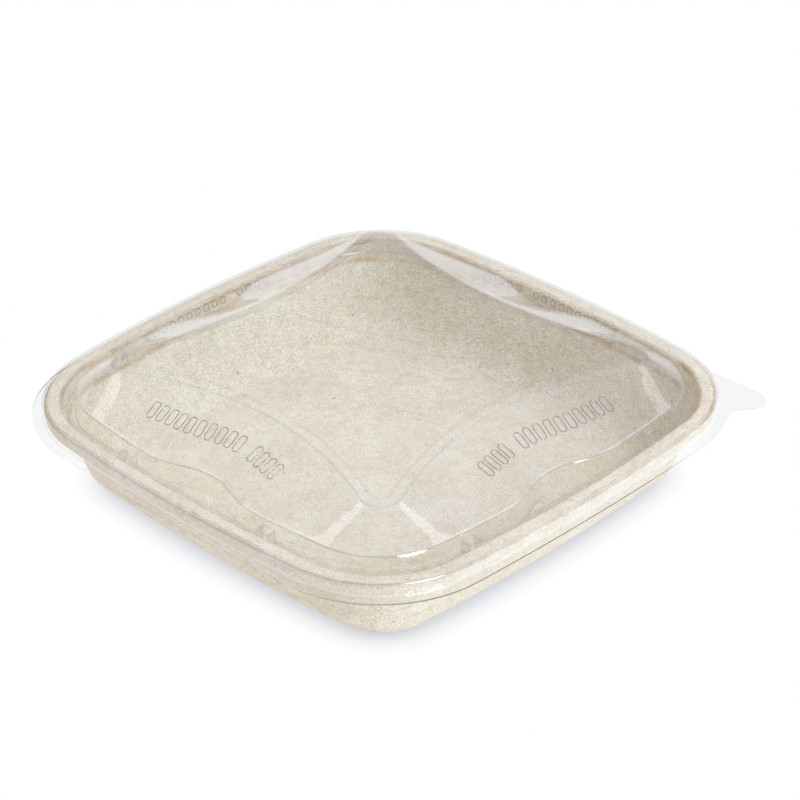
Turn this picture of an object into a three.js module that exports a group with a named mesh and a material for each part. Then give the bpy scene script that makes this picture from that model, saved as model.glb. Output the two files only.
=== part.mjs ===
// A shallow square bowl of moulded fibre with a clear snap lid.
// Millimetres, +Z up. The origin is under the middle of the bowl's base, and the
// lid's pull tab points to +X +Y. Both pieces are one sheet each, pressed to shape:
// each is built as the underside of its sheet, in rings from the middle outwards,
// and then thickened upwards.
import * as THREE from "three";

// ---- Bowl ----
const BOWL_HEIGHT = 33;
const FIBRE = 1.2; // thickness of the pressed fibre
const BASE_HALF = 68.9; // middle of the base to the edge of its flat
const BASE_SIDE_RADIUS = 685;
const BASE_CORNER = 10.5;
const FOOT_RADIUS = 12.5; // the round between the base and the wall
const WALL_SLOPE = THREE.MathUtils.degToRad(23); // of the wall, from upright
const SEAT_DEPTH = 6.5; // from the rim down to the ledge that the lid's plug stands over
const LEDGE = 2.3; // width of that ledge
const RIM_HALF = 88.7; // middle of the bowl to the rim's inner edge
const RIM_SIDE_RADIUS = 591;
const RIM_CORNER = 33.4;
const RIM_WIDTH = 6.3;
const LIP = 3; // how far the rim's outer edge is turned down
const RIM_ROUND = 0.6;

// ---- Lid ----
const SHEET = 0.5; // thickness of the clear sheet
const CLEARANCE = 0.3; // between the lid and the bowl
const SKIRT_DEPTH = 5; // rim's top down to the flange
const FLANGE_HALF = 98.2;
const FLANGE_SIDE_RADIUS = 1050;
const FLANGE_CORNER = 44.5;
const PLUG_DEPTH = 4.8; // how far the channel behind the rim dips into the bowl
const PLUG_DRAFT = 0.6;
const STEP_INSET = 5; // rim's inner edge to the foot of the dome
const STEP_RISE = 2.5; // height of the dome's foot above the rim
const SCALLOP_DEPTH = 6; // bay in the middle of each side of the dome's foot
const SCALLOP_HALF_WIDTH = 25;
const LUG_AT = [44, 33, 44, 33]; // middle of each side (+X, +Y, -X, -Y) to its two lugs
const LUG_HALF_WIDTH = 2.6;
const LUG_FLANK = 0.4;
const CROWN_HEIGHT = 17.3; // middle of the lid above the rim
const CROWN_RADIUS = 1000; // the lid's top is a very shallow dome
const STAR_HALF = 53.9; // middle of the lid to the middle of the star's hollow sides
const STAR_SIDE_RADIUS = -143.5; // negative: the side is hollow
const STAR_TIP = 7;
const BAND_WIDTH = 3.6; // sloping band along the star's edge
const BAND_DROP = 0.3;

// ---- Pull tab, in millimetres out along the corner's diagonal and across it ----
const TAB_TIP = 131.4;
const TAB_SHOULDER = 6.4; // half width of the tab behind its tip
const TAB_FRONT_ROOT = 15; // where the short fillet meets the flange
const TAB_BACK_ROOT = 20; // where the long slope meets the flange

// ---- How finely a ring is divided ----
const BOWL_STOPS = Array(4).fill([0, 22, 44]); // on each side, distances from its middle
const LUG_TOP_HALF = LUG_HALF_WIDTH - LUG_FLANK;
const LUG_EDGES = [-LUG_HALF_WIDTH, -LUG_TOP_HALF, LUG_TOP_HALF, LUG_HALF_WIDTH];
const LID_STOPS = LUG_AT.map((at) => {
  const lugStops = LUG_EDGES.map((edge) => at + edge);
  return [0, 7, 13, 19, SCALLOP_HALF_WIDTH, ...lugStops, 50];
});
const CORNER_STEPS = 10;
const EVEN_TURNS = Array.from({ length: CORNER_STEPS + 1 }, (_, i) => i / CORNER_STEPS);
const TAB_STEPS = 28;

// A square with arched sides and round corners. A negative side radius makes the
// sides hollow. `distance` is how far the side is from the middle at `along`, and
// `corner` goes round the corner between +X and +Y as t goes from 0 to 1. `turn`
// gives the t at which a point is seen from the corner's centre.
function archedSquare(half, sideRadius, cornerRadius) {
  const sign = Math.sign(sideRadius);
  const sideCentre = half - sideRadius;
  const reach = sideRadius - cornerRadius;
  const root = Math.sqrt(2 * reach * reach - sideCentre * sideCentre);
  const cornerCentre = (sideCentre + sign * root) / 2;
  const tilt = Math.atan2(sign * cornerCentre, sign * (cornerCentre - sideCentre));
  const sweep = Math.PI / 2 - 2 * tilt;
  return {
    offset: (d) => archedSquare(half + d, sideRadius + d, cornerRadius + d),
    distance: (along) => sideCentre + sign * Math.sqrt(sideRadius * sideRadius - along * along),
    corner: (t) => {
      const angle = tilt + t * sweep;
      const x = cornerCentre + cornerRadius * Math.cos(angle);
      const y = cornerCentre + cornerRadius * Math.sin(angle);
      return new THREE.Vector2(x, y);
    },
    turn: ({ x, y }) => (Math.atan2(y - cornerCentre, x - cornerCentre) - tilt) / sweep,
  };
}

// The points of one ring, anticlockwise seen from above: each side's stops, then
// the turns of the corner after it. `height` is a number or a function of the
// distance from the axis, `inset` pulls a side in, `lift` raises it, and
// `firstCorner` replaces the +X +Y corner.
function ring(shape, height, { stops, turns, inset = () => 0, lift = () => 0, firstCorner }) {
  const points = [];
  const add = (x, y, quarter, rise) => {
    const turned = new THREE.Vector2(x, y).rotateAround(new THREE.Vector2(), (quarter * Math.PI) / 2);
    const z = typeof height === "function" ? height(turned.length()) : height;
    points.push(new THREE.Vector3(turned.x, turned.y, z + rise));
  };
  stops.forEach((halfSide, quarter) => {
    const side = [...halfSide.slice(1).reverse().map((s) => -s), ...halfSide];
    for (const s of side) {
      add(shape.distance(s) - inset(Math.abs(s)), s, quarter, lift(Math.abs(s), quarter));
    }
    const corner = quarter === 0 && firstCorner ? firstCorner : turns[quarter].map(shape.corner);
    corner.forEach(({ x, y }) => add(x, y, quarter, 0));
  });
  return points;
}

const between = (a, b, t) => a.map((point, i) => point.clone().lerp(b[i], t));
const shrunk = (points, scale, height) =>
  points.map(({ x, y }) => new THREE.Vector3(x * scale, y * scale, height(Math.hypot(x, y) * scale)));

// A sheet from its underside: rings from the middle outwards, with a point at the
// middle, thickened along the surface's normals and closed round its edge.
function sheet(middleHeight, rings, thickness) {
  const count = rings[0].length;
  const under = [new THREE.Vector3(0, 0, middleHeight), ...rings.flat()];
  const faces = [];
  for (let i = 0; i < count; i++) {
    const next = (i + 1) % count;
    faces.push([0, 1 + i, 1 + next]);
    for (let r = 1; r < rings.length; r++) {
      const inner = 1 + (r - 1) * count;
      const outer = inner + count;
      faces.push([inner + i, outer + i, outer + next], [inner + i, outer + next, inner + next]);
    }
  }
  const over = thickened(under, faces, thickness);
  const last = under.length;
  const index = faces.flatMap(([a, b, c]) => [c, b, a, last + a, last + b, last + c]);
  const edge = 1 + (rings.length - 1) * count;
  for (let i = 0; i < count; i++) {
    const a = edge + i;
    const b = edge + ((i + 1) % count);
    index.push(a, b, last + b, a, last + b, last + a);
  }
  const geometry = new THREE.BufferGeometry().setFromPoints([...under, ...over]);
  geometry.setIndex(index);
  geometry.computeVertexNormals();
  return geometry;
}

// Each point moved off the surface so that every face at it moves by `thickness`.
function thickened(points, faces, thickness) {
  const normals = faces.map((face) => {
    const triangle = new THREE.Triangle(...face.map((i) => points[i]));
    return triangle.getNormal(new THREE.Vector3());
  });
  const around = points.map(() => []);
  faces.forEach((face, f) => face.forEach((i) => around[i].push(normals[f])));
  return points.map((point, i) => {
    const mean = new THREE.Vector3();
    around[i].forEach((normal) => mean.add(normal));
    mean.normalize();
    const least = Math.min(...around[i].map((normal) => normal.dot(mean)));
    return point.clone().addScaledVector(mean, thickness / Math.max(least, 0.7));
  });
}

const rimLine = archedSquare(RIM_HALF, RIM_SIDE_RADIUS, RIM_CORNER);

// The bowl's underside: flat base, round foot, sloping wall, the ledge's step, the
// rim and its turned-down lip.
function bowl() {
  const options = { stops: BOWL_STOPS, turns: Array(4).fill(EVEN_TURNS) };
  const base = archedSquare(BASE_HALF, BASE_SIDE_RADIUS, BASE_CORNER);
  const footTurn = Math.PI / 2 - WALL_SLOPE;
  const foot = [0, 1 / 3, 2 / 3, 1].map((t) => {
    const angle = t * footTurn;
    const rise = FOOT_RADIUS * (1 - Math.cos(angle));
    return ring(base.offset(FOOT_RADIUS * Math.sin(angle)), rise, options);
  });
  const under = BOWL_HEIGHT - FIBRE;
  const wallTop = BOWL_HEIGHT - SEAT_DEPTH - FIBRE;
  const ledge = ring(rimLine.offset(FIBRE - LEDGE), wallTop, options);
  const lipInside = RIM_WIDTH - FIBRE;
  return [
    shrunk(foot[0], 0.5, () => 0),
    ...foot,
    between(foot.at(-1), ledge, 0.5),
    ledge,
    ring(rimLine.offset(FIBRE), wallTop + LEDGE / 4, options),
    ring(rimLine.offset(FIBRE), under - RIM_ROUND / 2, options),
    ring(rimLine.offset(FIBRE + RIM_ROUND / 2), under, options),
    ring(rimLine.offset(lipInside - RIM_ROUND / 2), under, options),
    ring(rimLine.offset(lipInside), under - RIM_ROUND / 2, options),
    ring(rimLine.offset(lipInside), under - LIP, options),
  ];
}

// The flange's +X +Y corner with the pull tab, from the +X side round to the +Y
// side. `out` runs along the corner's diagonal and `across` towards +X.
function tabCorner(flange) {
  const place = (out, across) =>
    new THREE.Vector2(out, -across).rotateAround(new THREE.Vector2(), Math.PI / 4);
  const start = flange.corner(0);
  const apex = flange.corner(0.5).length();
  const centre = apex - FLANGE_CORNER;
  const onArc = (across) => centre + Math.sqrt(FLANGE_CORNER ** 2 - across ** 2);
  const turn = (across) => Math.PI / 4 - Math.asin(across / FLANGE_CORNER);
  const middle = place(centre, 0);
  const path = new THREE.Path();
  const curve = (c1, c2, end) =>
    path.bezierCurveTo(...place(...c1).toArray(), ...place(...c2).toArray(), ...place(...end).toArray());
  path.moveTo(start.x, start.y);
  const startAngle = Math.atan2(start.y - middle.y, start.x - middle.x);
  path.absarc(middle.x, middle.y, FLANGE_CORNER, startAngle, turn(TAB_FRONT_ROOT), false);
  const neck = apex + 3.5;
  curve([apex - 0.3, TAB_FRONT_ROOT - 6], [apex, TAB_SHOULDER], [neck, TAB_SHOULDER]);
  curve([TAB_TIP - 3, TAB_SHOULDER - 0.4], [TAB_TIP, TAB_SHOULDER - 2], [TAB_TIP, 1]);
  curve([TAB_TIP, -2], [TAB_TIP - 2, -4.3], [TAB_TIP - 5, -TAB_SHOULDER - 0.4]);
  const backRoot = onArc(TAB_BACK_ROOT);
  curve([neck - 0.5, -12.5], [backRoot + 2.2, 4.5 - TAB_BACK_ROOT], [backRoot, -TAB_BACK_ROOT]);
  path.absarc(middle.x, middle.y, FLANGE_CORNER, turn(-TAB_BACK_ROOT), Math.PI / 2 - startAngle, false);
  return path.getSpacedPoints(TAB_STEPS);
}

// How far the dome's foot is drawn in near the middle of a side.
function scallop(along) {
  if (along >= SCALLOP_HALF_WIDTH) return 0;
  return SCALLOP_DEPTH * Math.cos((Math.PI * along) / (2 * SCALLOP_HALF_WIDTH)) ** 2;
}

// How far a lug raises the channel's floor: nearly up to the rim.
function lug(along, quarter) {
  const beyond = Math.abs(along - LUG_AT[quarter]) - LUG_TOP_HALF;
  return PLUG_DEPTH * (1 - THREE.MathUtils.clamp(beyond / LUG_FLANK, 0, 1));
}

// The lid's underside: shallow crown, the star's edge, sloping panels, dome foot with
// its bays, channel with lugs, plug wall, rim cover, skirt, flange and tab.
function lid() {
  const flange = archedSquare(FLANGE_HALF, FLANGE_SIDE_RADIUS, FLANGE_CORNER);
  const firstCorner = tabCorner(flange);
  const turns = [firstCorner.map(flange.turn), EVEN_TURNS, EVEN_TURNS, EVEN_TURNS];
  const plain = { stops: LID_STOPS, turns };
  const bays = { ...plain, inset: scallop };
  const crown = (radius) => BOWL_HEIGHT + CROWN_HEIGHT - radius ** 2 / (2 * CROWN_RADIUS);
  const star = archedSquare(STAR_HALF, STAR_SIDE_RADIUS, STAR_TIP);
  const starInside = ring(star.offset(-BAND_WIDTH), crown, plain);
  const starEdge = ring(star, (radius) => crown(radius) - BAND_DROP, plain);
  const domeFoot = ring(rimLine.offset(-STEP_INSET), BOWL_HEIGHT + STEP_RISE, bays);
  const floor = BOWL_HEIGHT - PLUG_DEPTH;
  const onRim = BOWL_HEIGHT + CLEARANCE;
  const skirt = rimLine.offset(RIM_WIDTH + CLEARANCE);
  const flangeHeight = BOWL_HEIGHT - SKIRT_DEPTH;
  return [
    shrunk(starInside, 0.5, crown),
    starInside,
    starEdge,
    between(starEdge, domeFoot, 0.5),
    domeFoot,
    ring(rimLine.offset(-STEP_INSET + PLUG_DRAFT), floor, { ...bays, lift: lug }),
    ring(rimLine.offset(-CLEARANCE - PLUG_DRAFT), floor, { ...plain, lift: lug }),
    ring(rimLine.offset(-CLEARANCE), onRim, plain),
    ring(skirt, onRim, plain),
    ring(skirt, flangeHeight, plain),
    ring(flange, flangeHeight, { ...plain, firstCorner }),
  ];
}

const fibre = new THREE.MeshStandardMaterial({ color: 0xcfc2ab, roughness: 0.9, metalness: 0 });
const clear = new THREE.MeshStandardMaterial({
  color: 0xeef4f4,
  roughness: 0.08,
  metalness: 0,
  transparent: true,
  opacity: 0.3,
});

const bowlMesh = new THREE.Mesh(sheet(0, bowl(), FIBRE), fibre);
bowlMesh.name = "fibre_bowl";
const lidMesh = new THREE.Mesh(sheet(BOWL_HEIGHT + CROWN_HEIGHT, lid(), SHEET), clear);
lidMesh.name = "clear_lid";

const group = new THREE.Group();
group.name = "snap_lid_food_container";
group.add(bowlMesh, lidMesh);
export default group;
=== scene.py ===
"""A snap lid food container: a moulded-fibre bowl and its clear lid, in metres, +Z up."""

import math

import bpy
import numpy as np
from mathutils import Matrix, Vector


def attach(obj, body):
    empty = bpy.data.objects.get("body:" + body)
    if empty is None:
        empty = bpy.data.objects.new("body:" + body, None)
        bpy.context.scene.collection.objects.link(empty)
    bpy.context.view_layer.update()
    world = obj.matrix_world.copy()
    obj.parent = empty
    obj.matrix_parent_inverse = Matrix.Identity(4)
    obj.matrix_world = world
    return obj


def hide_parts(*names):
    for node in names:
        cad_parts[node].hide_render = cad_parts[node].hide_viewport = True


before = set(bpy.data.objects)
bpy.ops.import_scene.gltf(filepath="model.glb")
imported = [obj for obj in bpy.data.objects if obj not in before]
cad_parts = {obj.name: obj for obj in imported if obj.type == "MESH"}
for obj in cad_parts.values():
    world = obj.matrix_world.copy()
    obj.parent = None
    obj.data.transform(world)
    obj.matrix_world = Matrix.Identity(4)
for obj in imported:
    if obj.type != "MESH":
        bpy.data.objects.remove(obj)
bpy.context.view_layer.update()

MM = 0.001

# Shapes are worked out in millimetres. An outline is its half width, its side radius and its corner radius.

# ---- Bowl ----
BOWL_HEIGHT = 33
FIBRE = 1.2  # thickness
BASE = (68.9, 685, 10.5)
FOOT_RADIUS = 12.5
WALL_SLOPE = math.radians(23)
SEAT_DEPTH = 6.5
LEDGE = 2.3
RIM = (88.7, 591, 33.4)  # the rim's inner edge
RIM_WIDTH = 6.3
LIP = 3

# ---- Lid ----
SHEET = 0.5  # thickness
CLEARANCE = 0.3
SKIRT_DEPTH = 5
FLANGE = (98.2, 1050, 44.5)
PLUG_DEPTH = 4.8  # how far the channel behind the rim goes down
PLUG_DRAFT = 0.6
STEP_INSET = 5  # from the rim's inner edge to the dome's foot
STEP_RISE = 2.5
SCALLOP_DEPTH = 6  # the wavy middle of each side of the dome's foot
SCALLOP_HALF_WIDTH = 25
LUG_AT = (44, 33, 44, 33)  # the two lugs' distance from the middle of each side
LUG_HALF_WIDTH = 2.6
LUG_TOP_HALF = 2.2
LUG_STOPS = (1, 1.9, LUG_TOP_HALF, 2.3, 2.5, LUG_HALF_WIDTH, 2.9, 3.5)  # columns beside a lug's middle
CROWN_HEIGHT = 17.3
CROWN_RADIUS = 1000
STAR = (53.9, -143.5, 7)
BAND_WIDTH = 3.6  # the narrow sloping band along the star's edge
BAND_DROP = 0.3

# ---- Pull tab ----
TAB_TIP = 131.4
TAB_SHOULDER = 6.4
TAB_FRONT_ROOT = 15
TAB_BACK_ROOT = 20

# ---- Mesh steps ----
SIDE_REACH = 52  # how far from its middle a side has columns; its corner's points come after
BEND_STEPS = 5
MOST_CUT = 0.45  # the largest share of a straight stretch that a bend takes
LEAST_COSINE = 0.7  # limits how far a sheet's corners are drawn out to keep its thickness
SHARP_ANGLE = math.radians(38)
TINY = 1e-12
UNDER_TO_OVER = 37  # sets the grain of a sheet's two faces apart


# ---------------------------------------------------------------- outlines
class Outline:
    """A square with arched sides and round corners; a negative side radius makes them hollow."""

    def __init__(self, half, side_radius, corner_radius):
        self.sizes = (half, side_radius, corner_radius)
        self.sign = math.copysign(1, side_radius)
        self.side_centre = half - side_radius
        reach = side_radius - corner_radius
        root = math.sqrt(2 * reach * reach - self.side_centre**2)
        self.corner_centre = (self.side_centre + self.sign * root) / 2
        self.tilt = math.atan2(
            self.sign * self.corner_centre,
            self.sign * (self.corner_centre - self.side_centre),
        )
        self.sweep = math.pi / 2 - 2 * self.tilt

    def offset(self, d):
        return Outline(*(size + d for size in self.sizes))

    def distance(self, along):
        radius = self.sizes[1]
        return self.side_centre + self.sign * math.sqrt(radius * radius - along * along)

    def corner(self, t):
        angle = self.tilt + t * self.sweep
        radius = self.sizes[2]
        return (
            self.corner_centre + radius * math.cos(angle),
            self.corner_centre + radius * math.sin(angle),
        )

    def turn(self, x, y):
        angle = math.atan2(y - self.corner_centre, x - self.corner_centre)
        return (angle - self.tilt) / self.sweep


def even(steps):
    return [i / steps for i in range(steps + 1)]


def both_ways(stops):
    return [-s for s in reversed(stops) if s > 0] + list(stops)


def ring(outline, height, columns, inset=None, lift=None, first_corner=None):
    """One closed row of points: each side's columns, then the corner after it."""
    points = []
    for quarter, (stops, turns) in enumerate(columns):
        flat = []
        for s in both_ways(stops):
            pull = inset(abs(s)) if inset else 0
            rise = lift(abs(s), quarter) if lift else 0
            flat.append((outline.distance(s) - pull, s, rise))
        corner = first_corner if quarter == 0 and first_corner else map(outline.corner, turns)
        flat += [(x, y, 0) for x, y in corner]
        cos, sin = (1, 0, -1, 0)[quarter], (0, 1, 0, -1)[quarter]
        for x, y, rise in flat:
            px, py = cos * x - sin * y, sin * x + cos * y
            z = height(math.hypot(px, py)) if callable(height) else height
            points.append((px, py, z + rise))
    return np.array(points)


# ---------------------------------------------------------------- sheets
def rounded(keys):
    """Key rows, each given as (row, cut), joined by straight stretches. An inner key is cut back by its cut
    and turned in a smooth bend. Returns the rows and how far each point is into a bend, from 0 to 1."""
    rows = [row for row, _ in keys]
    flat = np.zeros(len(rows[0]))
    out, bend = [rows[0]], [flat]
    for (key, cut), before, after in zip(keys[1:-1], rows, rows[2:]):

        def towards(other):
            step = other - key
            length = np.linalg.norm(step, axis=1, keepdims=True)
            return key + step / length * np.minimum(cut, MOST_CUT * length)

        start, end = towards(before), towards(after)
        for t in even(BEND_STEPS):
            out.append((1 - t) ** 2 * start + 2 * t * (1 - t) * key + t * t * end)
            bend.append(flat + math.sin(math.pi * t))
    out.append(rows[-1])
    bend.append(flat)
    return out, bend


def spread(rows, values, longest):
    """Long stretches between rows are divided, so that no quad is much longer than longest."""
    out, marks = [rows[0]], [values[0]]
    for a, b, value in zip(rows, rows[1:], values[1:]):
        gap = float(np.linalg.norm(b - a, axis=1).mean())
        parts = max(1, math.ceil(gap / longest))
        for k in range(1, parts + 1):
            out.append(a + (b - a) * k / parts)
            marks.append(value if k == parts else 0 * value)
    return out, marks


def face_list(count, rows):
    """Triangles round the middle point and quads between rows."""
    faces = [(0, 1 + i, 1 + (i + 1) % count) for i in range(count)]
    for r in range(1, rows):
        inner = 1 + (r - 1) * count
        outer = inner + count
        for i in range(count):
            j = (i + 1) % count
            faces.append((inner + i, outer + i, outer + j, inner + j))
    return faces


def normals_of(points, faces):
    """Each point's mean normal, and the smallest cosine between it and the normals of its faces."""
    total = np.zeros_like(points)
    least = np.ones(len(points))
    held = []
    for size in (3, 4):
        group = np.array([f for f in faces if len(f) == size])
        if not len(group):
            continue
        p = points[group]
        n = np.cross(p[:, 2] - p[:, 0], p[:, -1] - p[:, 1] if size == 4 else p[:, 2] - p[:, 1])
        n /= np.maximum(np.linalg.norm(n, axis=1, keepdims=True), TINY)
        held.append((group, n))
        for k in range(size):
            np.add.at(total, group[:, k], n)
    total /= np.maximum(np.linalg.norm(total, axis=1, keepdims=True), TINY)
    for group, n in held:
        for k in range(group.shape[1]):
            np.minimum.at(least, group[:, k], (total[group[:, k]] * n).sum(1))
    return total, np.maximum(least, LEAST_COSINE)


def wrapped(middle, rows):
    """Where each point of a sheet lies: round the piece, on a circle as long as its edge, and out along its
    section, as height."""
    count = len(rows[0])
    loop = rows[-1]
    around = np.cumsum(np.linalg.norm(np.roll(loop, -1, axis=0) - loop, axis=1))
    turn = np.concatenate([[0], around[:-1]]) / around[-1] * 2 * math.pi
    radius = around[-1] / (2 * math.pi)
    wrap = np.zeros((1 + len(rows) * count, 3))
    run = np.zeros(count)
    inner = np.array([0, 0, middle])
    for r, row in enumerate(rows):
        run = run + np.linalg.norm(row - inner, axis=1)
        inner = row
        at = slice(1 + r * count, 1 + (r + 1) * count)
        wrap[at, 0] = radius * np.cos(turn)
        wrap[at, 1] = radius * np.sin(turn)
        wrap[at, 2] = run
    return wrap


def placed(name, data):
    """A new object with that data, in the scene."""
    piece = bpy.data.objects.new(name, data)
    bpy.context.scene.collection.objects.link(piece)
    return piece


def make_sheet(name, middle, rows, thickness, **marks):
    """A closed sheet: its underside from the middle outwards, the same moved up by its thickness, and the
    edge between them. Marks are a value for each point of each row, kept as attributes for materials."""
    count = len(rows[0])
    under = np.vstack([[(0, 0, middle)], *rows])
    faces = face_list(count, len(rows))
    normal, least = normals_of(under, faces)
    over = under + normal * (thickness / least)[:, None]
    last = len(under)
    everything = [tuple(reversed(f)) for f in faces]
    everything += [tuple(last + i for i in f) for f in faces]
    edge = 1 + (len(rows) - 1) * count
    for i in range(count):
        j = (i + 1) % count
        everything.append((edge + i, edge + j, last + edge + j, last + edge + i))
    mesh = bpy.data.meshes.new(name)
    points = np.vstack([under, over]) * MM
    mesh.from_pydata(points.tolist(), [], everything)
    mesh.validate()
    wrap = wrapped(middle, rows)
    place = mesh.attributes.new("wrap", "FLOAT_VECTOR", "POINT")
    place.data.foreach_set("vector", (np.vstack([wrap, wrap + [0, 0, UNDER_TO_OVER]]) * MM).ravel())
    for label, values in marks.items():
        side = np.concatenate([[0.0], *values])
        mark = mesh.attributes.new(label, "FLOAT", "POINT")
        mark.data.foreach_set("value", np.concatenate([side, side]))
    mesh.polygons.foreach_set("material_index", [0] * (len(mesh.polygons) - count) + [1] * count)
    mesh.shade_smooth()
    mesh.set_sharp_from_angle(angle=SHARP_ANGLE)
    return placed(name, mesh)


# ---------------------------------------------------------------- the bowl
rim_line = Outline(*RIM)


def bowl_piece():
    """The bowl's underside, from the middle of the base: foot, wall, seat ledge, rim and lip."""
    column_step, corner_steps, foot_steps, longest_quad = 3, 22, 9, 2.5
    columns = [(list(np.arange(0, SIDE_REACH + 0.1, column_step)), even(corner_steps))] * 4
    base = Outline(*BASE)
    turn = math.pi / 2 - WALL_SLOPE
    base_shares = (0.15, 0.3, 0.45, 0.6, 0.75, 0.9)
    rows = [ring(base, 0, columns) * [k, k, 1] for k in base_shares]
    for t in even(foot_steps):
        outline = base.offset(FOOT_RADIUS * math.sin(t * turn))
        rows.append(ring(outline, FOOT_RADIUS * (1 - math.cos(t * turn)), columns))
    under = BOWL_HEIGHT - FIBRE
    wall_top = BOWL_HEIGHT - SEAT_DEPTH - FIBRE
    seat, upper_wall = rim_line.offset(FIBRE - LEDGE), rim_line.offset(FIBRE)
    lip = rim_line.offset(RIM_WIDTH - FIBRE)
    bent, bend = rounded(
        [
            (rows[-1], 0),
            (ring(seat, wall_top, columns), 1.0),
            (ring(upper_wall, wall_top + LEDGE / 4, columns), 0.9),
            (ring(upper_wall, under, columns), 0.8),
            (ring(lip, under, columns), 0.5),
            (ring(lip, under - LIP, columns), 0),
        ]
    )
    bent, bend = spread(bent, bend, longest_quad)
    marks = [bend[0]] * len(rows) + bend[1:]
    return make_sheet("moulded_bowl", 0, rows + bent[1:], FIBRE, bend=marks)


# ---------------------------------------------------------------- the lid
def bezier(a, b, c, d, steps):
    """Points on a cubic curve, without its first one."""
    t = np.linspace(0, 1, steps + 1)[1:, None]
    a, b, c, d = (np.array(p, float) for p in (a, b, c, d))
    return (1 - t) ** 3 * a + 3 * t * (1 - t) ** 2 * b + 3 * t * t * (1 - t) * c + t**3 * d


def tab_corner(flange, steps):
    """The flange's +X +Y corner with the pull tab, evenly spaced, from the +X side to the +Y side.
    The tab's points are (out along the diagonal, across it towards the +X side)."""
    curve_steps = 40
    radius = flange.sizes[2]
    middle = flange.corner_centre
    centre = middle * math.sqrt(2)
    apex = centre + radius

    def place(out, across):
        return ((out + across) * math.sqrt(0.5), (out - across) * math.sqrt(0.5))

    def on_arc(across):
        return centre + math.sqrt(radius**2 - across**2)

    def arc(start, end):
        angles = np.linspace(start, end, curve_steps)
        return np.stack([middle + radius * np.cos(angles), middle + radius * np.sin(angles)], 1)

    front_turn = math.pi / 4 - math.asin(TAB_FRONT_ROOT / radius)
    back_turn = math.pi / 4 + math.asin(TAB_BACK_ROOT / radius)
    front = (on_arc(TAB_FRONT_ROOT), TAB_FRONT_ROOT)
    neck = (apex + 3.5, TAB_SHOULDER)
    tip = (TAB_TIP, 1)
    tip_end = (TAB_TIP - 5, -TAB_SHOULDER - 0.4)
    back = (on_arc(TAB_BACK_ROOT), -TAB_BACK_ROOT)
    curves = [
        (front, (apex - 0.3, TAB_FRONT_ROOT - 6), (apex, TAB_SHOULDER), neck),
        (neck, (TAB_TIP - 3, TAB_SHOULDER - 0.4), (TAB_TIP, TAB_SHOULDER - 2), tip),
        (tip, (TAB_TIP, -2), (TAB_TIP - 2, -4.3), tip_end),
        (tip_end, (neck[0] - 0.5, -12.5), (back[0] + 2.2, 4.5 - TAB_BACK_ROOT), back),
    ]
    parts = [arc(flange.tilt, front_turn)]
    parts += [bezier(*(place(*p) for p in curve), curve_steps) for curve in curves]
    parts.append(arc(back_turn, math.pi / 2 - flange.tilt)[1:])
    path = np.vstack(parts)
    length = np.concatenate([[0], np.cumsum(np.linalg.norm(np.diff(path, axis=0), axis=1))])
    at = np.linspace(0, length[-1], steps + 1)
    xs, ys = (np.interp(at, length, path[:, axis]) for axis in (0, 1))
    return list(zip(xs.tolist(), ys.tolist()))


def scallop(along):
    """How far the dome's foot is drawn in at that distance from the middle of a side."""
    if along >= SCALLOP_HALF_WIDTH:
        return 0
    return SCALLOP_DEPTH * math.cos(math.pi * along / (2 * SCALLOP_HALF_WIDTH)) ** 2


def lug(along, quarter):
    """How far the channel's floor is raised there."""
    beyond = abs(along - LUG_AT[quarter]) - LUG_TOP_HALF
    share = min(max(beyond / (LUG_HALF_WIDTH - LUG_TOP_HALF), 0), 1)
    return PLUG_DEPTH * (1 - share)


def lid_columns(tab_turns):
    """Each side's columns, evenly spaced but closer at its lugs, and the turns of the next corner."""
    column_step, nearest, corner_steps = 2, 1.1, 24
    columns = []
    for quarter, at in enumerate(LUG_AT):
        lug_stops = [at + side * s for side in (-1, 1) for s in LUG_STOPS]
        plain = [float(s) for s in np.arange(0, SIDE_REACH + 0.1, column_step)]
        plain = [s for s in plain if all(abs(s - other) > nearest for other in lug_stops)]
        turns = tab_turns if quarter == 0 else even(corner_steps)
        columns.append((sorted(plain + lug_stops), turns))
    return columns


def lug_lines(rows, marks, columns):
    """The lugs' upright edges count as bends too, and their sides partly, on the rows that they raise, so
    they take the painted shade of the bend lines.
    """
    side_strength, near = 0.75, 0.05
    edges, tops, lows = [], [], []  # the marks, and which points are on a lug's top or on the floor beside it
    for (stops, turns), at in zip(columns, LUG_AT):
        for s in both_ways(stops):
            beyond = abs(abs(s) - at)
            corner = min(abs(beyond - LUG_TOP_HALF), abs(beyond - LUG_HALF_WIDTH)) < near
            edges.append(1.0 if corner else side_strength * (LUG_TOP_HALF < beyond < LUG_HALF_WIDTH))
            tops.append(beyond <= 1)
            lows.append(3 < beyond < 4)
        edges += [0.0] * len(turns)
        tops += [False] * len(turns)
        lows += [False] * len(turns)
    edges, tops, lows = np.array(edges), np.array(tops), np.array(lows)
    out = []
    for row, mark in zip(rows, marks):
        raised = min(max((row[tops, 2].mean() - row[lows, 2].mean()) / PLUG_DEPTH, 0), 1)
        out.append(np.maximum(mark, edges * raised))
    return out


def crown(radius):
    """The height of the crown's underside at that distance from the middle."""
    return BOWL_HEIGHT + CROWN_HEIGHT - radius**2 / (2 * CROWN_RADIUS)


def out_from_axis(row):
    return np.hypot(row[:, 0], row[:, 1]).mean()


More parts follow.
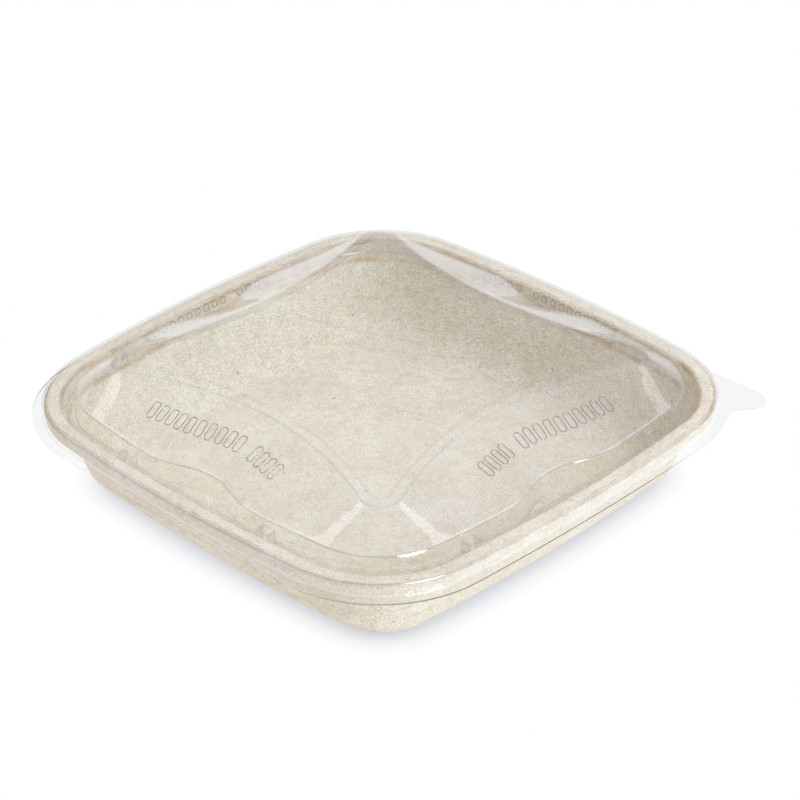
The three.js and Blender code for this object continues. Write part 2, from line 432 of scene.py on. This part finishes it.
def lid_piece():
    """The lid's underside, from the middle of the crown: star edge, panels, channel, rim cover, skirt and
    flange."""
    tab_steps, longest_quad, skirt_reach = 90, 4, 0.5
    flange = Outline(*FLANGE)
    tab = tab_corner(flange, tab_steps)
    columns = lid_columns([flange.turn(x, y) for x, y in tab])
    star = Outline(*STAR)
    star_inside = ring(star.offset(-BAND_WIDTH), crown, columns)
    floor = BOWL_HEIGHT - PLUG_DEPTH
    on_rim = BOWL_HEIGHT + CLEARANCE
    flange_height = BOWL_HEIGHT - SKIRT_DEPTH
    foot, plug = rim_line.offset(-STEP_INSET), rim_line.offset(PLUG_DRAFT - STEP_INSET)
    skirt = rim_line.offset(RIM_WIDTH + CLEARANCE)
    skirt_foot = ring(skirt, flange_height, columns)
    rows = []
    for k in (0.08, 0.2, 0.34, 0.48, 0.62, 0.76, 0.88, 0.96):
        row = star_inside * [k, k, 1]
        row[:, 2] = [crown(math.hypot(x, y)) for x, y, _ in row]
        rows.append(row)
    bent, bend = rounded(
        [
            (rows[-1], 0),
            (star_inside, 0.6),
            (ring(star, lambda radius: crown(radius) - BAND_DROP, columns), 0.8),
            (ring(foot, BOWL_HEIGHT + STEP_RISE, columns, inset=scallop), 0.9),
            (ring(plug, floor, columns, inset=scallop, lift=lug), 0.7),
            (ring(rim_line.offset(-CLEARANCE - PLUG_DRAFT), floor, columns, lift=lug), 0.7),
            (ring(rim_line.offset(-CLEARANCE), on_rim, columns), 0.6),
            (ring(skirt, on_rim, columns), 0.8),
            (skirt_foot, 0.6),
            (ring(flange, flange_height, columns, first_corner=tab), 0),
        ]
    )
    bent, bend = spread(bent, bend, longest_quad)
    flat = bend[0]
    marks = [flat] * len(rows) + bend[1:]
    rows += bent[1:]
    marks = lug_lines(rows, marks, columns)
    skirt_out = out_from_axis(skirt_foot)
    upright = [flat + (abs(out_from_axis(row) - skirt_out) < skirt_reach) for row in rows]
    middle = BOWL_HEIGHT + CROWN_HEIGHT
    return make_sheet("clear_lid_sheet", middle, rows, SHEET, bend=marks, skirt=upright)


# ---------------------------------------------------------------- raised marks on the panels
MARK_PITCH = 4.07
MARKS_IN_ROW = 15  # one of them is left out as a gap
LOOP_STEPS = 24
BEAD_STEPS = 6


def panel_point(s, t):
    """A point on the top of the -Y panel: s along it, t from the star's edge (0) to the dome's foot (1)."""
    top = Outline(*STAR).distance(s)
    high = crown(math.hypot(top, s)) - BAND_DROP
    low = rim_line.offset(-STEP_INSET).distance(s) - scallop(abs(s))
    out = top + (low - top) * t
    return np.array([s, -out, high + (BOWL_HEIGHT + STEP_RISE - high) * t + SHEET])


def panel_mark(s):
    """Middle, direction along the side and direction down the panel of the mark at s on the -Y panel."""
    middle, lower = 0.49, 0.53
    here = panel_point(s, middle)
    along = panel_point(s + 0.5, middle) - panel_point(s - 0.5, middle)
    along[2] = 0
    return here, along, panel_point(s, lower) - here


def plug_mark(s):
    """The same for a mark on the plug's wall on the +Y side, seen from inside the lid."""
    inside_wall, below_rim, draft = 0.95, 1.5, 0.1
    out = rim_line.distance(s) - CLEARANCE - inside_wall
    here = np.array([s, out, BOWL_HEIGHT - below_rim])
    side_radius = rim_line.sizes[1]
    return here, np.array([1, -s / side_radius, 0]), np.array([0, -draft, -1])


def bead_loop(here, along, down, half_width, half_length, bead):
    """A round bead bent into a long loop: its points in rings, one ring after the other."""
    along = along / np.linalg.norm(along)
    down = down - along * (down @ along)
    down = down / np.linalg.norm(down)
    up = np.cross(down, along)
    straight = half_length - half_width
    points = []
    for i in range(LOOP_STEPS):
        a = 2 * math.pi * (i + 0.5) / LOOP_STEPS
        out = along * math.cos(a) + down * math.sin(a)
        path = here + out * half_width + down * math.copysign(straight, math.sin(a))
        for j in range(BEAD_STEPS):
            b = 2 * math.pi * j / BEAD_STEPS
            points.append(path + bead * (out * math.cos(b) + up * math.sin(b)))
    return points


def marks_piece():
    """Rows of plain raised outlines: two rows of tall ones on the front panels and two rows of small ones
    on the plug's wall at the back."""
    tall, small = (1.3, 3.3, 0.22), (1.2, 1.3, 0.18)  # half width, half length, bead radius
    # Each row: its marks' places, whether it is turned on to the next side, its start, its gap, its size.
    rows = (
        (panel_mark, False, -36, 10, tall),
        (panel_mark, True, -21, 4, tall),
        (plug_mark, False, -28.5, 4, small),
        (plug_mark, True, -28.5, 10, small),
    )
    points, faces = [], []
    for place, turned, start, gap, size in rows:
        for k in range(MARKS_IN_ROW):
            if k == gap:
                continue
            first = len(points)
            loop = bead_loop(*place(start + k * MARK_PITCH), *size)
            points += [(-y, x, z) if turned else (x, y, z) for x, y, z in loop]
            for i in range(LOOP_STEPS):
                for j in range(BEAD_STEPS):
                    i2, j2 = (i + 1) % LOOP_STEPS, (j + 1) % BEAD_STEPS
                    corners = ((i, j), (i, j2), (i2, j2), (i2, j))
                    faces.append([first + p * BEAD_STEPS + q for p, q in corners])
    mesh = bpy.data.meshes.new("raised_marks")
    mesh.from_pydata((np.array(points) * MM).tolist(), [], faces)
    mesh.validate()
    mesh.shade_smooth()
    # Every point counts as a bend, so the whole bead takes the painted shade of the line colour.
    bend = mesh.attributes.new("bend", "FLOAT", "POINT")
    bend.data.foreach_set("value", [1.0] * len(mesh.vertices))
    return placed("raised_marks", mesh)


# ---------------------------------------------------------------- materials
class Graph:
    """A short way to write a node tree."""

    def __init__(self, name):
        self.material = bpy.data.materials.new(name)
        self.material.use_nodes = True
        self.tree = self.material.node_tree
        self.tree.nodes.clear()
        self.output = self.tree.nodes.new("ShaderNodeOutputMaterial")

    def add(self, kind, inputs=None, **settings):
        node = self.tree.nodes.new("ShaderNode" + kind)
        for key, value in settings.items():
            setattr(node, key, value)
        for key, value in (inputs or {}).items():
            self.set(node.inputs[key], value)
        return node

    def set(self, socket, value):
        if isinstance(value, bpy.types.NodeSocket):
            self.tree.links.new(value, socket)
        else:
            socket.default_value = value

    def math(self, operation, a, b=0.0, c=None):
        node = self.add("Math", operation=operation)
        self.set(node.inputs[0], a)
        self.set(node.inputs[1], b)
        if c is not None:
            self.set(node.inputs[2], c)
        return node.outputs[0]

    def noise(self, vector, scale, detail, roughness, distortion=0.0):
        inputs = {"Vector": vector, "Scale": scale, "Detail": detail}
        inputs |= {"Roughness": roughness, "Distortion": distortion}
        return self.add("TexNoise", inputs).outputs["Fac"]

    def ramp(self, value, *stops):
        """A colour ramp, each stop a position and a colour."""
        node = self.add("ValToRGB")
        self.set(node.inputs["Fac"], value)
        ramp = node.color_ramp
        while len(ramp.elements) < len(stops):
            ramp.elements.new(0.5)
        for element, (position, colour) in zip(ramp.elements, stops):
            element.position = position
            element.color = (*colour, 1)
        return node.outputs["Color"]

    def between(self, factor, a, b, blend="MIX"):
        """A mix of two colours. A Mix node's colour sockets are inputs 6 and 7 and output 2."""
        node = self.add("Mix", data_type="RGBA", blend_type=blend)
        self.set(node.inputs[0], factor)
        self.set(node.inputs[6], a)
        self.set(node.inputs[7], b)
        return node.outputs[2]

    def attribute(self, name, output):
        return self.add("Attribute", attribute_name=name).outputs[output]

    def blended(self, share, a, b):
        """Two shaders mixed, with that share of the second."""
        return self.add("MixShader", {0: share, 1: a, 2: b}).outputs[0]

    def finish(self, surface):
        self.set(self.output.inputs["Surface"], surface)
        return self.material


WHITE = (1, 1, 1)
BLACK = (0, 0, 0)


def rgb(r, g, b):
    """sRGB 0-255 to linear, for all but the darkest tones."""
    return tuple(((c / 255 + 0.055) / 1.055) ** 2.4 for c in (r, g, b))


def fibre_material():
    """Pressed plant fibre: cream, with soft beige clouds, fine streaks along the sides, grain, a few specks
    and browner bends, partly the fibre's own tone and partly painted shade in the creases."""
    g = Graph("pressed_fibre")
    where = g.add("TexCoord").outputs["Object"]
    wrap = g.attribute("wrap", "Vector")
    bend = g.attribute("bend", "Fac")

    def drawn_out(times):
        """Places squeezed along the section, so that a pattern on them is drawn out round the piece."""
        return g.add("Mapping", {"Vector": wrap, "Scale": (1, 1, times)}).outputs["Vector"]

    cloud = g.noise(where, 45, 3, 0.55)
    blot = g.noise(where, 75, 4, 0.6)
    patch = g.noise(where, 300, 4, 0.62, 0.3)
    dots = g.noise(where, 430, 1, 0.4)
    grain = g.noise(where, 1700, 2, 0.6)
    streak = g.noise(drawn_out(9), 120, 4, 0.62)
    fibre = g.noise(drawn_out(3), 900, 3, 0.7)
    cells = g.add("TexVoronoi", {"Vector": where, "Scale": 1300}).outputs["Distance"]

    def glaze(colour, share, value, *stops):
        return g.between(share, colour, g.ramp(value, *stops), "MULTIPLY")

    cream = rgb(254, 253, 251)
    patches = ((0.30, rgb(234, 229, 220)), (0.50, rgb(244, 242, 237)), (0.70, rgb(249, 248, 245)))
    streaks = ((0.32, rgb(228, 217, 199)), (0.50, rgb(248, 245, 240)), (0.70, WHITE))
    colour = g.ramp(patch, *patches)
    colour = glaze(colour, 0.5, cloud, (0.34, rgb(242, 235, 223)), (0.60, cream))
    colour = glaze(colour, 0.4, streak, *streaks)
    colour = glaze(colour, 0.7, fibre, (0.34, rgb(222, 209, 189)), (0.56, cream))
    colour = glaze(colour, 0.8, grain, (0.34, rgb(218, 205, 184)), (0.58, cream))
    # Bends tinted and blotched browner: partly the fibre's own tone, partly painted shade in the creases.
    colour = glaze(colour, 1.0, bend, (0.2, WHITE), (1.0, rgb(243, 233, 219)))
    browned_and_shaded = g.math("MULTIPLY", g.ramp(blot, (0.46, BLACK), (0.66, WHITE)), bend)
    colour = g.between(browned_and_shaded, colour, (*rgb(226, 204, 176), 1), "MULTIPLY")
    specks = g.math("MULTIPLY", g.ramp(dots, (0.755, BLACK), (0.775, WHITE)), 0.4)
    colour = g.between(specks, colour, (*rgb(140, 112, 84), 1))

    height = g.math("MULTIPLY", fibre, 0.5)
    for pattern, share in ((grain, 0.35), (streak, 0.4), (cells, 0.25)):
        height = g.math("MULTIPLY_ADD", pattern, share, height)
    bump = g.add("Bump", {"Strength": 0.35, "Distance": 0.0003, "Height": height})
    surface = {
        "Base Color": colour,
        "Roughness": g.math("MULTIPLY_ADD", patch, 0.15, 0.74),
        "Normal": bump.outputs["Normal"],
        "Specular IOR Level": 0.15,
    }
    return g.finish(g.add("BsdfPrincipled", surface).outputs["BSDF"])


def clear_material(name, line, line_share, line_shine):
    """A thin clear sheet: it lets nearly all light through and mirrors more at a slant, with faint waves.
    Its bends are fine lines of the given colour, strength and shine, the colour a painted shade standing in
    for the light the folds bend away; its panels and skirt are hazier."""
    g = Graph(name)
    place = g.add("TexCoord").outputs
    skirt = g.attribute("skirt", "Fac")
    crease = g.math("POWER", g.attribute("bend", "Fac"), 4.0)
    ripple = g.noise(place["Object"], 45, 2, 0.5)
    fine = g.noise(place["Object"], 700, 2, 0.5)
    relief = g.math("MULTIPLY_ADD", fine, 0.03, ripple)
    bump = g.add("Bump", {"Strength": 0.08, "Distance": 0.0008, "Height": relief}).outputs["Normal"]

    through = g.add("BsdfTransparent", {"Color": (0.993, 0.994, 0.996, 1)}).outputs[0]
    tint = g.between(skirt, (*rgb(184, 178, 190), 1), (*rgb(250, 248, 246), 1))
    # Painted shade: the bend lines take the line colour in place of the light bent away at the folds.
    tint = g.between(crease, tint, (*line, 1))
    body = g.add("BsdfDiffuse", {"Color": tint, "Roughness": 0.3}).outputs[0]
    slope = g.math("ABSOLUTE", g.add("SeparateXYZ", {0: place["Normal"]}).outputs["Z"])
    panels = g.ramp(slope, (0.72, BLACK), (0.80, WHITE), (0.93, WHITE), (0.97, BLACK))
    solid = g.math("MULTIPLY_ADD", fine, 0.01, 0.002)
    for part, share in ((panels, 0.035), (skirt, 0.1), (crease, line_share)):
        solid = g.math("MULTIPLY_ADD", part, share, solid)
    inner = g.blended(solid, through, body)

    gloss = {"Color": (*WHITE, 1), "Roughness": g.math("MULTIPLY_ADD", fine, 0.04, 0.02), "Normal": bump}
    mirror = g.add("BsdfGlossy", gloss).outputs[0]
    facing = g.add("LayerWeight", {"Blend": 0.5, "Normal": bump}).outputs["Facing"]
    mirrored = g.math("MULTIPLY_ADD", g.math("POWER", facing, 5.0), 0.6, 0.042)
    mirrored = g.math("MULTIPLY_ADD", crease, line_shine, mirrored)
    return g.finish(g.blended(mirrored, inner, mirror))


def cut_edge_material():
    """The sheet's cut edge: nearly clear, and darker along the +X side as far as the tab, a painted shade
    that stands in for the shade beneath the sheet that the edge shows there."""
    g = Graph("cut_edge")
    place = g.add("TexCoord").outputs
    tone = g.noise(place["Object"], 220, 3, 0.6)
    facing_x = g.add("SeparateXYZ", {0: place["Normal"]}).outputs["X"]
    along = g.add("SeparateXYZ", {0: place["Object"]}).outputs["Y"]
    away_from_tab = g.ramp(along, (0.02, WHITE), (0.05, (0.08, 0.08, 0.08)))
    # Painted shade on the edge faces that face +X, fading where Y grows towards the tab.
    edge_shade = g.math("MULTIPLY", g.math("MAXIMUM", facing_x, 0.0), away_from_tab)
    share = g.math("MULTIPLY_ADD", tone, 0.08, 0.01)
    share = g.math("MULTIPLY_ADD", edge_shade, 0.75, share)
    through = g.add("BsdfTransparent", {"Color": (0.97, 0.97, 0.97, 1)}).outputs[0]
    colour = g.ramp(tone, (0.35, rgb(84, 62, 54)), (0.65, rgb(128, 108, 100)))
    body = g.add("BsdfPrincipled", {"Base Color": colour, "Roughness": 0.25, "IOR": 1.5}).outputs[0]
    return g.finish(g.blended(share, through, body))


# ---------------------------------------------------------------- pieces
def dress(piece, *materials):
    """The first material is for the faces and the second, if any, for the cut edge."""
    for material in materials:
        piece.data.materials.append(material)


bowl = bowl_piece()
pressed_fibre = fibre_material()
dress(bowl, pressed_fibre, pressed_fibre)
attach(bowl, "bowl")
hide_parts("fibre_bowl")

lid = lid_piece()
# The line colour is painted shade along the lid's bends and lug edges.
clear_sheet = clear_material("clear_sheet", line=rgb(158, 151, 166), line_share=0.22, line_shine=0.05)
dress(lid, clear_sheet, cut_edge_material())
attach(lid, "lid")
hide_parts("clear_lid")

marks = marks_piece()
# The marks' darker line colour is painted shade along their beads.
dress(marks, clear_material("clear_marks", line=rgb(126, 112, 108), line_share=0.34, line_shine=0.03))
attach(marks, "lid")


# ---------------------------------------------------------------- floor, light and camera
def floor():
    """A plain white floor, which glows evenly, with a painted shadow that greys it only close to whatever
    stands on it.
    """
    half = 6
    corners = [(-half, -half, 0), (half, -half, 0), (half, half, 0), (-half, half, 0)]
    mesh = bpy.data.meshes.new("floor")
    mesh.from_pydata(corners, [], [(0, 1, 2, 3)])
    g = Graph("floor")
    # Painted contact shadow: the glow's colour greys where the object hems the floor in.
    openness = g.add("AmbientOcclusion", {"Distance": 0.010}, samples=24).outputs["AO"]
    colour = g.ramp(openness, (0.1, (0.62, 0.63, 0.66)), (0.5, (0.90, 0.905, 0.92)), (0.86, WHITE))
    glow = g.add("Emission", {"Color": colour, "Strength": 1.0}).outputs[0]
    mesh.materials.append(g.finish(glow))
    placed("floor", mesh)


def towards_bearing(azimuth, elevation):
    """The direction with that azimuth (0 is +X, anticlockwise) and elevation, in degrees."""
    a, e = math.radians(azimuth), math.radians(elevation)
    return Vector((math.cos(a) * math.cos(e), math.sin(a) * math.cos(e), math.sin(e)))


def area(name, bearing, distance, size, power, colour=WHITE, shine=False):
    """A soft round light, aimed at the object; its size is a width and a height. Most only light things;
    one for shine is only seen in reflections."""
    lamp = bpy.data.lights.new(name, "AREA")
    lamp.shape = "ELLIPSE"
    lamp.size, lamp.size_y = size
    lamp.energy = power
    lamp.color = colour
    piece = placed(name, lamp)
    piece.location = towards_bearing(*bearing) * distance
    piece.rotation_euler = (-piece.location).to_track_quat("-Z", "Y").to_euler()
    piece.visible_glossy = shine
    piece.visible_diffuse = not shine


def sky():
    """The studio round the object: bright at the horizon and overhead, greyer between, slightly blue."""
    heights = ((0.0, 0.95), (0.1, 0.6), (0.3, 0.26), (0.42, 0.4), (0.56, 0.45), (0.74, 0.85), (1.0, 1.0))
    world = bpy.data.worlds.new("studio")
    world.use_nodes = True
    tree = world.node_tree
    tree.nodes.clear()
    output = tree.nodes.new("ShaderNodeOutputWorld")
    background = tree.nodes.new("ShaderNodeBackground")
    coordinate = tree.nodes.new("ShaderNodeTexCoord")
    split = tree.nodes.new("ShaderNodeSeparateXYZ")
    ramp = tree.nodes.new("ShaderNodeValToRGB")
    tree.links.new(coordinate.outputs["Generated"], split.inputs[0])
    tree.links.new(split.outputs["Z"], ramp.inputs["Fac"])
    stops = ramp.color_ramp.elements
    while len(stops) < len(heights):
        stops.new(0.5)
    for stop, (position, level) in zip(stops, heights):
        stop.position = position
        stop.color = (0.94 * level, 0.97 * level, level, 1)
    tree.links.new(ramp.outputs["Color"], background.inputs["Color"])
    background.inputs["Strength"].default_value = 1.0
    tree.links.new(background.outputs[0], output.inputs[0])
    bpy.context.scene.world = world


def camera():
    """A long lens at the corner between +X and -Y, 31 degrees up and slightly rolled."""
    azimuth, elevation, roll = -44.81, 31.4, -0.0145
    distance = 1.0973
    aim = Vector((0, 0, BOWL_HEIGHT * MM))
    across, rise = -0.0061304, 0.002335  # where the view shows the aim point, as tangents from its middle
    back = towards_bearing(azimuth, elevation)
    right = Vector((0, 0, 1)).cross(back).normalized()
    up = back.cross(right)
    rolled_right = right * math.cos(roll) + up * math.sin(roll)
    rolled_up = up * math.cos(roll) - right * math.sin(roll)
    basis = Matrix((rolled_right, rolled_up, back)).transposed()
    to_aim = Vector((across, rise, -1)).normalized()
    turn = to_aim.rotation_difference(Vector((0, 0, -1))).to_matrix()
    data = bpy.data.cameras.new("camera")
    data.sensor_width = 36
    data.lens = 145.1205
    data.clip_start, data.clip_end = 0.05, 30
    piece = placed("camera", data)
    piece.matrix_world = Matrix.Translation(aim + back * distance) @ (basis @ turn).to_4x4()
    bpy.context.scene.camera = piece


DAYLIGHT = (0.94, 0.975, 1)
NEUTRAL = (0.98, 0.98, 0.97)
WARM = (1, 0.955, 0.9)
COOL = (0.74, 0.89, 1)
WIDE, SMALL = (1.4, 1.4), (1.2, 1.2)

floor()
sky()
area("overhead", (35, 62), 1.3, WIDE, 7.1, DAYLIGHT)
area("front_fill", (-45, 10), 1.8, WIDE, 5.5, NEUTRAL)
area("left_fill", (-120, 38), 1.8, SMALL, 2.5, WARM)
area("right_fill", (12, 20), 1.8, SMALL, 17.2, COOL)
area("back_fill", (135, 35), 2.0, WIDE, 8, DAYLIGHT)
area("left_shine", (-139, 37), 1.8, (1, 1), 4, (0.93, 0.92, 1), shine=True)
area("right_shine", (49, 37), 1.8, (1, 1), 4.5, (0.97, 0.96, 1), shine=True)
area("corner_shine", (-9, 18), 1.8, (1.1, 1.0), 34, shine=True)
camera()
scene = bpy.context.scene
scene.view_settings.view_transform = "Standard"
scene.cycles.transparent_max_bounces = 32
